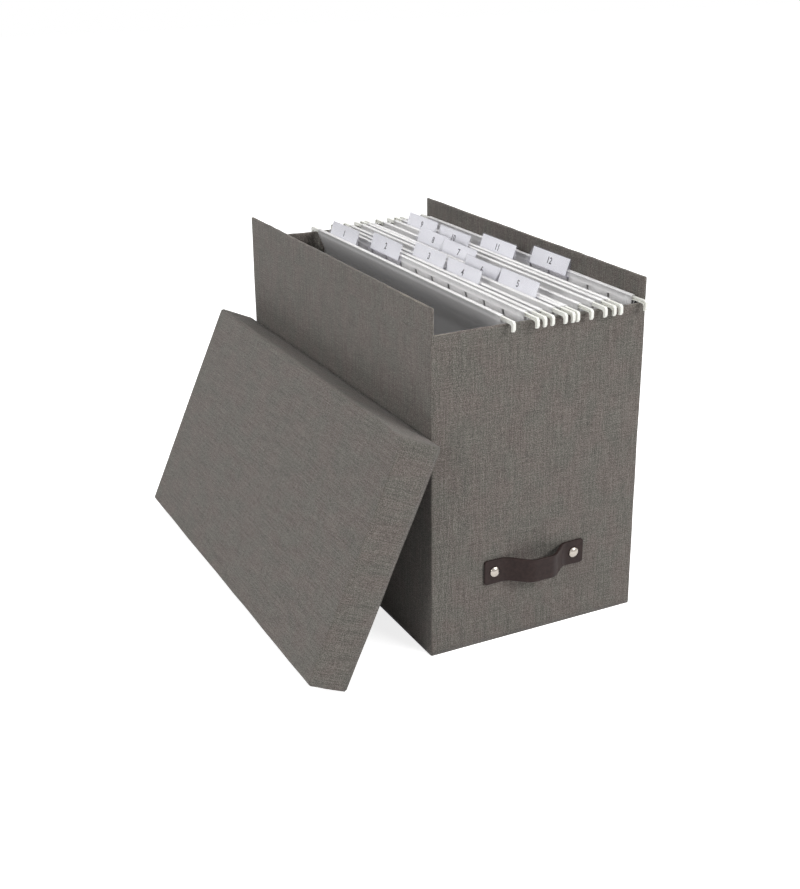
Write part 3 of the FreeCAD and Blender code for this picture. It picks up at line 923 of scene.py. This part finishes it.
    def build(self) -> list[Piece]:
        """Build the wrap as one piece, lean it and put it in place of the plain one.

        Returns:
            The piece, in a list.
        """
        xs, ys = (steps(-side / 2, side / 2, self.spacing, self.radius, self.corner_steps)
                  for side in (self.width, self.length))
        lap = self.width / 2 - self.radius - np.array(self.lap_steps_mm) * MM
        xs = np.unique(np.round(np.concatenate([xs, lap, -lap]), 7))
        plan = loop_around(self.width / 2, self.length / 2, xs, ys)
        sharp = spread(xs[:, None], ys, self.depth)
        patches = [self.seamed(self.lapped(self.skirt(plan))), self.rim(plan),
                   Patch(self.rounded(sharp), sharp[..., :2] / MM)]
        piece = build("lid_wrap", [patch.moved(self.slow(patch.points)) for patch in patches])
        piece.data.transform(self.place)
        thicken(piece, self.cloth)
        return [settle(piece, "book_cloth", "lid", "lid_cloth")]


# ---- pull ----------------------------------------------------------------------------
@dataclass
class Pull:
    """The leather strap: its rounded section, carried along the bow between its two feet."""

    length: float = 86.4 * MM       # end to end, along the wall
    width: float = 19.5 * MM
    waist: float = 18.0 * MM        # at the middle of the bow
    thickness: float = 2.2 * MM
    end_radius: float = 2.5 * MM
    edge_radius: float = 0.7 * MM
    bow_height: float = 13.3 * MM
    bow_foot: float = 28.5 * MM     # half the distance between the feet of the bow
    bend_radius: float = 10 * MM
    bend_angle: float = math.radians(42)
    rivet_x: float = 34.5 * MM
    head_radius: float = 4.1 * MM
    soften: int = 9                 # points of the middle line over which each bend sets in
    end_half: float = 0.02 * MM     # half the thickness at the very ends
    dent: float = 0.22 * MM         # how far a rivet's head presses the leather in
    dent_reach: float = 1.2 * MM    # and how far beyond the head

    def __post_init__(self) -> None:
        """Take the middle of the pull and the face of the wall from the frame."""
        low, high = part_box("pull_strap")
        self.middle = Vector(((low.x + high.x) / 2, high.y, (low.z + high.z) / 2))

    def centre_line(self, count: int = 241) -> tuple[Array, Array, Array]:
        """The strap's middle line, from its angle: the running sum of its curvature.

        Args:
            count: points along the whole line.

        Returns:
            The run along the wall, the rise from it and the angle, at each point.
        """
        arc = self.bend_radius * self.bend_angle
        slope = (self.bow_height - 2 * self.bend_radius * (1 - math.cos(self.bend_angle)))
        slope /= math.sin(self.bend_angle)
        foot = self.length / 2 - self.bow_foot
        run = 2 * self.bend_radius * math.sin(self.bend_angle) + slope * math.cos(self.bend_angle)
        knots = np.cumsum([0, foot, arc, slope, arc, self.bow_foot - run])
        along = np.linspace(0, knots[-1], (count + 1) // 2)
        angle = np.interp(along, knots, [0, 0, self.bend_angle, self.bend_angle, 0, 0])
        kernel = np.hanning(self.soften)
        padded = np.pad(angle, self.soften // 2, mode="edge")
        angle = np.convolve(padded, kernel / kernel.sum(), mode="valid")
        middle, step = (angle[1:] + angle[:-1]) / 2, along[1] - along[0]
        forward = np.concatenate([[0], np.cumsum(np.cos(middle) * step)])
        rise = np.concatenate([[0], np.cumsum(np.sin(middle) * step)])
        forward -= forward[-1]
        return (np.concatenate([forward, -forward[-2::-1]]),
                np.concatenate([rise, rise[-2::-1]]), np.concatenate([angle, -angle[-2::-1]]))

    def section(self, half_width: Array, half_thick: Array) -> Array:
        """Rounded rectangles, as points round each one.

        Args:
            half_width: half of each section's width.
            half_thick: half of each section's thickness.

        Returns:
            The across and out positions, of shape (sections, points, 2).
        """
        # once round a unit square, in finer steps over what the edges round
        ring = loop_around(1, 1, steps(-1, 1, 0.09, 0.06, 4), steps(-1, 1, 0.5, 0.5, 4))[None]
        half = np.stack([half_width, half_thick], -1)[:, None]
        sharp = ring * half
        radius = np.minimum(self.edge_radius, 0.95 * half.min(-1, keepdims=True))
        core = np.clip(sharp, -(half - radius), half - radius)
        return core + radius * unit(sharp - core)

    def drawn_in(self, radius: float, from_end: Array) -> Array:
        """How far a quarter circle at the end of the strap lies inside its side."""
        beyond = np.clip(radius - from_end, 0, radius)
        return radius - np.sqrt(radius ** 2 - beyond ** 2)

    def build(self) -> list[Piece]:
        """Build the strap and put it in place of the plain one.

        Returns:
            The piece, in a list.
        """
        run, rise, angle = self.centre_line()
        from_end = self.length / 2 - np.abs(run)
        bow = np.cos(np.clip(run / self.length, -0.5, 0.5) * math.pi) ** 2
        waist = (self.width - self.waist) / 2 * bow
        half_width = self.width / 2 - waist - self.drawn_in(self.end_radius, from_end)
        half_thick = self.thickness / 2 - self.drawn_in(self.edge_radius, from_end)
        section = self.section(half_width, np.maximum(half_thick, self.end_half))
        across, out = section[..., 0], section[..., 1]
        points = spread(run[:, None] - np.sin(angle)[:, None] * out,
                        -(rise[:, None] + self.thickness / 2 + np.cos(angle)[:, None] * out),
                        across)
        aside = np.hypot(np.abs(points[..., 0]) - self.rivet_x, points[..., 2])
        outside = np.clip(aside - self.head_radius, 0, None)
        pressed = np.exp(-(outside / self.dent_reach) ** 2)
        points[..., 1] += self.dent * pressed * (out > 0)
        points += np.array(self.middle)
        threads = spread(travel(spread(run, rise))[:, None], across) / MM
        piece = build("leather_strap", [Patch(points, threads, flipped=True)])
        return [settle(piece, "strap_leather", "box", "pull_strap")]


@dataclass
class Rivet:
    """One rivet of the pull: a post through the wall with a low domed head on the leather."""

    side: str                       # "left" or "right"
    post_radius: float = 2.0 * MM
    rim: float = 0.4 * MM           # the upright edge of the head
    bevel: float = 0.1 * MM         # of the head's back edge
    sunk: float = 0.25 * MM         # how far the head presses into the leather
    head_rise: float = 2.0 * MM
    around: int = 48

    def __post_init__(self) -> None:
        """Take the rivet's axis, its head's radius and both ends from the frame."""
        low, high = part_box(f"pull_rivet_{self.side}")
        self.axis_x, self.axis_z = (low.x + high.x) / 2, (low.z + high.z) / 2
        self.head_radius = (high.x - low.x) / 2
        self.crown, self.tail = low.y, high.y

    def profile(self) -> Array:
        """The rivet's section: from the crown along a ball's arc, round the rim, in under the
        head and along the post to the middle of its end.

        Returns:
            The radius and the distance behind the crown of each point.
        """
        dome = self.head_rise - self.rim
        ball = (self.head_radius ** 2 + dome ** 2) / (2 * dome)
        arc = np.linspace(0, math.asin(self.head_radius / ball), 11)
        under, end = self.head_rise + self.sunk, self.tail - self.crown
        rest = np.array([[self.head_radius, under - self.bevel],
                         [self.head_radius - self.bevel, under],
                         [self.post_radius, under], [self.post_radius, end], [0.0, end]])
        return np.concatenate([spread(ball * np.sin(arc), ball * (1 - np.cos(arc))), rest])

    def build(self) -> list[Piece]:
        """Turn the profile once round its axis and put it in place of the plain rivet.

        Returns:
            The piece, in a list.
        """
        radius, behind = self.profile().T[..., None]
        turn = np.linspace(0, math.tau, self.around + 1)
        turn[-1] = 0.0
        points = spread(self.axis_x + radius * np.cos(turn), self.crown + behind,
                        self.axis_z + radius * np.sin(turn))
        piece = build(f"{self.side}_rivet", [Patch(points, points[..., ::2] / MM, flipped=True)])
        return [settle(piece, "rivet_metal", "box", f"pull_rivet_{self.side}")]


# ---- hanging files -------------------------------------------------------------------
@dataclass
class Label:
    """One printed number on a label, in the plane of its sloping holder."""

    number: int
    left: bool                      # on the left bar, where the holder stands a little higher
    y: float
    slope: float = math.radians(19)
    length: float = 13.6 * MM       # of the paper, up the slope
    paper: float = 0.2 * MM
    text_size: float = 7.4 * MM
    bleed: float = 0.15 * MM        # how far the ink spreads past the letters' outlines
    ink: float = 0.02 * MM

    def centre(self, file: int) -> Vector:
        """Find the middle of the label's printed face.

        The frame's box round both labels of the file gives it: the left one is at the box's
        upper left and the right one at its lower right.

        Args:
            file: the file's number.

        Returns:
            The point, a thickness of ink in front of the paper.
        """
        sine, cosine = math.sin(self.slope), math.cos(self.slope)
        reach_x = self.length * sine + self.paper * cosine
        reach_z = self.length * cosine + self.paper * sine
        low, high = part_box(f"file_{file}_labels")
        x = low.x + reach_x / 2 if self.left else high.x - reach_x / 2
        z = high.z - reach_z / 2 if self.left else low.z + reach_z / 2
        proud = self.paper / 2 + self.ink
        return Vector((x - proud * cosine, self.y, z + proud * sine))

    def build(self, file: int) -> Piece:
        """Make the number as a thin mesh, centred on its label.

        Args:
            file: the number of the file that the label rides on.

        Returns:
            The number's object.
        """
        words = bpy.data.curves.new(f"label_number_{self.number}", "FONT")
        words.body, words.size, words.extrude = str(self.number), self.text_size, self.ink
        words.align_x, words.align_y = "CENTER", "CENTER"
        words.offset, words.resolution_u = self.bleed, 4
        text = bpy.data.objects.new(words.name, words)
        mesh = bpy.data.meshes.new_from_object(text)
        bpy.data.objects.remove(text)
        piece = placed(words.name, mesh)
        reading = Vector((0, -1, 0))
        upward = Vector((math.sin(self.slope), 0, math.cos(self.slope)))
        turn = Matrix((reading, upward, reading.cross(upward))).transposed().to_4x4()
        mesh.transform(Matrix.Translation(self.centre(file)) @ turn)
        dress(piece, Finish.INK.material)
        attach(piece, f"file_{file}")
        return piece


@dataclass(frozen=True)
class Panel:
    """One side of a hanging file; its distances are outwards from the bar's middle."""

    slit: int               # the slit that its tab sits at
    pinch: float            # the foot of the hem
    bow: float              # the card half way down from there


@dataclass
class HangingFile:
    """One hanging file: a folded card with a hem round each bar, and two numbered labels."""

    number: int
    left: Panel
    right: Panel
    card: float = 0.25 * MM
    hem_reach: float = 1.525 * MM   # from the bar's middle to the middle of the card
    crown_radius: float = 1.0 * MM
    neck: float = 246.0 * MM        # below it the hem's outside draws in to its foot
    shoulder: float = 245.2 * MM    # and below it the inside does
    paste_line: float = 231.5 * MM  # the hem's flap is pasted down to here
    fold: float = 2.0 * MM          # the foot's two creases cut this much off its corner
    slit_low: float = 237.9 * MM
    slit_high: float = 244.4 * MM
    slit_width: float = 2.6 * MM
    slit_first: float = -129.8 * MM
    slit_pitch: float = 27.2 * MM
    slit_count: int = 11
    crown_steps: int = 5            # points on each of the crown's corners
    hem_steps: int = 8              # down the hem's outside
    panel_steps: int = 22           # down the panel
    loosening: float = 40 * MM      # the ripple grows over this depth below the paste line
    ripple: Unevenness = Unevenness(0.12 * MM, 70 * MM, 21)

    def __post_init__(self) -> None:
        """Take the hems and the foot of the card from the frame."""
        low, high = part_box(f"file_{self.number}_sheet")
        self.hems = [(bar[0].x + bar[1].x) / 2 for bar in
                     (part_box(f"file_{self.number}_{side}_bar") for side in ("left", "right"))]
        self.low_z, self.top_z, self.half_y = low.z, high.z, high.y

    def half(self, panel: Panel) -> Array:
        """The section of one side, from the end of its flap over the bar and down the panel.

        The hem is a drop: straight up from the paste line to the shoulder, round the crown's
        two corners, and back down to the paste line. The panel below it is a parabola through
        its foot, half way and the fold, and the fold is one slanting facet.

        Args:
            panel: how far this side is pinched and bowed.

        Returns:
            The distance outwards from the bar's middle and the height of each point.
        """
        corner = self.top_z - self.card / 2 - self.crown_radius
        rise = np.array([self.paste_line, self.slit_low, self.slit_high, self.shoulder])
        up = (rise - self.paste_line) / (self.shoulder - self.paste_line)
        inside = (1 - up) * (panel.pinch - self.card) - up * self.hem_reach
        turn = np.linspace(0, QUARTER, self.crown_steps)[::-1]
        arc_out = self.hem_reach - self.crown_radius * (1 - np.sin(turn))
        arc_up = corner + self.crown_radius * np.cos(turn)
        fall = np.linspace(self.neck, self.paste_line, self.hem_steps)
        drawn = (fall - self.paste_line) / (fall[0] - self.paste_line)
        foot = self.low_z + self.card / 2 + self.fold
        down = np.linspace(0, 1, self.panel_steps)[1:]
        bulge = panel.pinch * (1 - down) + 4 * down * (1 - down) * (panel.bow - panel.pinch / 2)
        return np.concatenate([
            spread(inside, rise), spread(-arc_out[::-1], arc_up[::-1]), spread(arc_out, arc_up),
            spread(panel.pinch + (self.hem_reach - panel.pinch) * drawn, fall),
            spread(bulge, self.paste_line + (foot - self.paste_line) * down),
            [[-self.fold, self.low_z + self.card / 2]]])

    def columns(self) -> tuple[Array, Array]:
        """Positions along the card, with a narrow column at each slit.

        Returns:
            The positions, and for each column between two of them whether it is a slit.
        """
        middles = self.slit_first + self.slit_pitch * np.arange(self.slit_count)
        edges = (middles[:, None] + np.array([-0.5, 0.5]) * self.slit_width).ravel()
        between = np.linspace(0, 1, 4)[1:-1]
        gaps = np.concatenate([[-self.half_y], edges, [self.half_y]]).reshape(-1, 2)
        inner = (gaps[:, :1] + np.diff(gaps, axis=1) * between).ravel()
        ys = np.sort(np.concatenate([[-self.half_y, self.half_y], edges, inner]))
        middle = (ys[1:] + ys[:-1]) / 2
        slit = (np.abs(middle[:, None] - middles) < self.slit_width / 2).any(1)
        return ys, slit

    def sheet(self) -> Piece:
        """Fold the card: its section, carried along the bars, with the slits cut out.

        Returns:
            The piece.
        """
        left, right = self.half(self.left), self.half(self.right)
        section = np.concatenate([left * [-1, 1] + [self.hems[0], 0],
                                  (right + [self.hems[1], 0])[::-1]])
        ys, slit = self.columns()
        points = spread(section[:, :1], ys, section[:, 1:])
        loose = np.clip((self.paste_line - points[..., 2]) / self.loosening, 0, 1)
        points[..., 0] += loose * self.ripple(points)
        cut_rows = np.zeros(len(section) - 1, bool)
        cut_rows[[1, -2]] = True
        piece = build(f"file_{self.number}_card",
                      [Patch(points, spread(travel(section)[:, None], ys) / MM,
                             holes=cut_rows[:, None] & slit[None])])
        thicken(piece, self.card, 0.0)
        return settle(piece, "file_card", f"file_{self.number}", f"file_{self.number}_sheet")

    def build(self) -> list[Piece]:
        """Fold the card and print both labels of the file.

        Returns:
            The three pieces.
        """
        made = [self.sheet()]
        for count, panel in enumerate((self.left, self.right)):
            y = self.slit_first + panel.slit * self.slit_pitch
            made.append(Label(2 * self.number - 1 + count, count == 0, y).build(self.number))
        return made


# ---- studio --------------------------------------------------------------------------
def bearing(azimuth: float, elevation: float) -> Matrix:
    """The turn that looks from there, in degrees; azimuth 0 is in front and -90 at the left."""
    tilt = Matrix.Rotation(math.radians(90 - elevation), 4, "X")
    return Matrix.Rotation(math.radians(azimuth), 4, "Z") @ tilt


@dataclass(frozen=True)
class Lamp:
    """A rectangular soft lamp that looks at the object's middle."""

    name: str
    azimuth: float                  # degrees
    elevation: float                # degrees
    distance: float                 # from the middle of the object
    size: tuple[float, float]       # width and height
    power: float                    # watts
    target: tuple[float, float, float] = (-0.04, 0.0, 0.13)

    def build(self) -> None:
        """Hang the lamp and turn it towards the object."""
        turn = bearing(self.azimuth, self.elevation)
        data = bpy.data.lights.new(self.name, "AREA")
        data.shape, data.energy = "RECTANGLE", self.power
        data.size, data.size_y = self.size
        away = Matrix.Translation((0, 0, self.distance))
        made = placed(self.name, data, Matrix.Translation(self.target) @ turn @ away)
        made.visible_camera = False


@dataclass
class Studio:
    """The camera, the floor and a soft, plain studio light."""

    azimuth: float = -26.844        # degrees
    elevation: float = 21.061       # degrees
    roll: float = -0.499            # degrees
    # the camera's place in its own axes: across, up and back from the frame's origin
    aside: Vector = field(default_factory=lambda: Vector((-21.566, 98.853, 1142.253)) * MM)
    focal_px: float = 1310.15       # in pixels of the picture's long side
    long_side_px: int = 889
    centre_px: tuple[float, float] = (5.53, -15.07)     # of the view's axis from the middle
    sensor: float = 36.0            # millimetres
    clip: tuple[float, float] = (0.05, 50.0)
    floor_size: float = 12.0
    fill: float = 0.22              # strength of the room's stray light
    floor_glow: float = 0.8         # what brings the floor up to white
    lamps: tuple[Lamp, ...] = (Lamp("right", 30, 30, 3.0, (1.4, 0.8), 46.5),
                               Lamp("left", -72, 24, 3.0, (1.4, 0.8), 33),
                               Lamp("top", 0, 88, 2.2, (1.5, 1.5), 25))

    def camera(self) -> None:
        """Set the camera: the turn from azimuth, elevation and roll, and the place along it."""
        roll = Matrix.Rotation(math.radians(self.roll), 4, "Z")
        turn = bearing(self.azimuth, self.elevation) @ roll
        data = bpy.data.cameras.new("camera")
        data.sensor_width = self.sensor
        data.lens = self.focal_px / self.long_side_px * self.sensor
        data.shift_x = -self.centre_px[0] / self.long_side_px
        data.shift_y = self.centre_px[1] / self.long_side_px
        data.clip_start, data.clip_end = self.clip
        away = Matrix.Translation(self.aside)
        bpy.context.scene.camera = placed("camera", data, turn @ away)

    def by_sight(self, tree: Tree, unseen: Socket, seen: Socket) -> Socket:
        """Mix two shaders: one for rays from the eye, from a mirror or through glass, and the
        other for stray light.

        Args:
            tree: the node tree.
            unseen: the shader for stray light.
            seen: the shader that is looked at.

        Returns:
            The mixed shader.
        """
        path = add(tree, "ShaderNodeLightPath").outputs
        eye = reckon(tree, "MAXIMUM", path["Is Camera Ray"], path["Is Transmission Ray"])
        looked = reckon(tree, "MAXIMUM", eye, path["Is Glossy Ray"])
        return add(tree, "ShaderNodeMixShader", {0: looked, 1: unseen, 2: seen}).outputs[0]

    def world(self) -> None:
        """Make a white room for the eye, mirrors and glass, and a weaker fill for the rest."""
        world = bpy.data.worlds.new("studio")
        world.use_nodes = True
        tree = world.node_tree
        tree.nodes.clear()
        fill, white = (add(tree, "ShaderNodeBackground",
                           {"Color": linear("ffffff"), "Strength": strength}).outputs[0]
                       for strength in (self.fill, 1.0))
        add(tree, "ShaderNodeOutputWorld", {0: self.by_sight(tree, fill, white)})
        bpy.context.scene.world = world

    def floor(self) -> None:
        """Lay a pale floor that looks white and keeps the object's shadow."""
        ends = np.array([-0.5, 0.5]) * self.floor_size
        grid = spread(ends[:, None], ends, 0.0)
        piece = build("floor", [Patch(grid, grid[..., :2])])
        material, tree, shader = new_material("painted_studio_floor")
        feed(tree, shader, {"Base Color": linear("f2f2f2"), "Roughness": 1.0,
                            "Specular IOR Level": 0.0})
        glow = add(tree, "ShaderNodeEmission", {"Color": linear("ffffff"),
                                                "Strength": self.floor_glow})
        both = add(tree, "ShaderNodeAddShader", {0: shader.outputs[0], 1: glow.outputs[0]})
        mixed = self.by_sight(tree, shader.outputs[0], both.outputs[0])
        tree.links.new(mixed, tree.nodes["Material Output"].inputs[0])
        dress(piece, material)

    def build(self) -> None:
        """Set up the whole studio."""
        bpy.context.scene.view_settings.view_transform = "Standard"
        self.camera()
        self.world()
        self.floor()
        for lamp in self.lamps:
            lamp.build()


# ---- the whole object ----------------------------------------------------------------
def dress_frame() -> None:
    """Give every node of the frame the finish of its material slot."""
    slots = {part["node"]: part["material_slot"] for part in frame["record"]["subparts"]}
    for name, piece in frame["nodes"].items():
        dress(piece, SLOT_FINISH[slots[name]].material)


FILES = [
    HangingFile(1, Panel(9, -4.2 * MM, 3.5 * MM), Panel(7, 1.2 * MM, 1.6 * MM)),
    HangingFile(2, Panel(5, -0.4 * MM, 0.8 * MM), Panel(3, -0.5 * MM, 1.0 * MM)),
    HangingFile(3, Panel(1, -0.6 * MM, 1.2 * MM), Panel(3, -0.2 * MM, -0.3 * MM)),
    HangingFile(4, Panel(5, -0.5 * MM, 0.3 * MM), Panel(7, -0.9 * MM, 1.5 * MM)),
    HangingFile(5, Panel(9, -0.8 * MM, 1.0 * MM), Panel(7, -0.4 * MM, 0.5 * MM)),
    HangingFile(6, Panel(5, -0.5 * MM, 0.4 * MM), Panel(3, -0.95 * MM, 0.6 * MM)),
]


def main() -> None:
    """Build every sub-assembly."""
    logging.basicConfig(level=logging.INFO, format="%(message)s")
    Studio().build()
    dress_frame()
    for maker in (BoxWrap(), LidWrap(), Pull(), Rivet("left"), Rivet("right"), *FILES):
        for piece in maker.build():
            LOG.info("%s: %d points", piece.name, len(piece.data.vertices))


if __name__ == "__main__":
    main()
